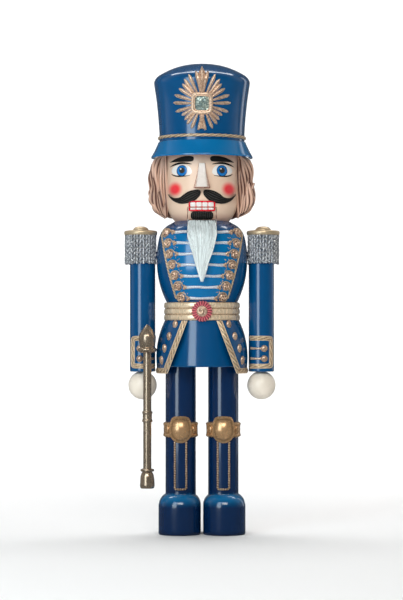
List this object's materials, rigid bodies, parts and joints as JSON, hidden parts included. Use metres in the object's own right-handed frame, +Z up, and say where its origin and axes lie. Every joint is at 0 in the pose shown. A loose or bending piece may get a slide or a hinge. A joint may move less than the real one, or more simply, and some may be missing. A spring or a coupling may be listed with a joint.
{
  "type": "nutcracker figure",
  "caption": "Turned wooden nutcracker soldier in a tall hat, with a hinged jaw worked by a back lever, epaulettes, belt, coat skirt, boots and a staff.",
  "frame": {"origin": "centre of the figure's bounding box in plan, at the soles of the boots", "axes": "+Z up along the figure, the face looks towards -Y, +X is the figure's left side"},
  "size_m": [0.1264, 0.0886, 0.38],
  "materials": {
    "lacquer_blue": "gloss lacquer",
    "lacquer_bright": "gloss lacquer",
    "lacquer_navy": "gloss lacquer",
    "gold_rope": "metallic cord",
    "gold_cast": "gold paint",
    "gold_pearl": "pearl gold paint",
    "antique_brass": "antique brass paint",
    "epaulette_gold": "satin gold paint",
    "red_pleats": "pleated ribbon",
    "silver_bars": "silver paint",
    "silver_cord": "glittering cord",
    "stone": "faceted glitter",
    "skin": "satin paint",
    "hair_brown": "carved and painted",
    "hair_black": "carved and painted",
    "beard_hair": "fine fibre",
    "lip_red": "gloss paint",
    "tooth_white": "gloss paint",
    "ivory": "satin paint",
    "bare_wood": "gloss lacquer",
    "pin_steel": "drawn"
  },
  "bodies": {
    "figure": {"arm_left": "lacquer_blue", "arm_right": "lacquer_blue", "badge_frame": "gold_cast", "badge_gem": "stone", "badge_rays": "gold_cast", "bar_knobs": "silver_bars", "belt": "antique_brass", "belt_boss": "antique_brass", "belt_rosette": "red_pleats", "boot_braids": "gold_rope", "boot_left": "lacquer_navy", "boot_right": "lacquer_navy", "chest_bars": "silver_bars", "chest_braids": "gold_rope", "chest_rosettes": "gold_cast", "coat_braid": "gold_rope", "coat_buttons": "gold_cast", "coat_skirt": "lacquer_blue", "cuff_bars": "gold_cast", "cuff_braids": "gold_rope", "cuff_buttons": "gold_cast", "cuff_panels": "lacquer_bright", "epaulette_board_left": "epaulette_gold", "epaulette_board_right": "epaulette_gold", "epaulette_buttons": "epaulette_gold", "epaulette_fringe_left": "silver_cord", "epaulette_fringe_right": "silver_cord", "eyebrows": "hair_black", "hair": "hair_brown", "hand_left": "ivory", "hand_right": "ivory", "hat_band": "gold_rope", "hat_crown": "lacquer_blue", "hat_visor": "lacquer_bright", "head": "skin", "knee_caps": "gold_pearl", "knee_straps": "gold_pearl", "leg_left": "lacquer_blue", "leg_right": "lacquer_blue", "moustache": "hair_black", "nose": "skin", "pivot_pin": "pin_steel", "plastron": "lacquer_bright", "shoulder_pegs": "bare_wood", "skirt_block": "lacquer_blue", "staff_ferrule": "antique_brass", "staff_finial": "antique_brass", "staff_peg": "bare_wood", "staff_shaft": "antique_brass", "torso": "lacquer_blue", "upper_lip": "lip_red", "upper_teeth": "tooth_white"},
    "jaw": {"jaw_lever": "bare_wood", "chin_plate": "skin", "lower_teeth": "tooth_white", "lower_lip": "lip_red", "goatee": "hair_black", "beard": "beard_hair"}
  },
  "joints": [
    {"name": "jaw_lever", "type": "hinge", "parent": "figure", "child": "jaw", "pos_m": [0, 0.004, 0.2565], "axis": [1, 0, 0], "range_deg": [0, 25], "deforming": ["beard"]}
  ]
}
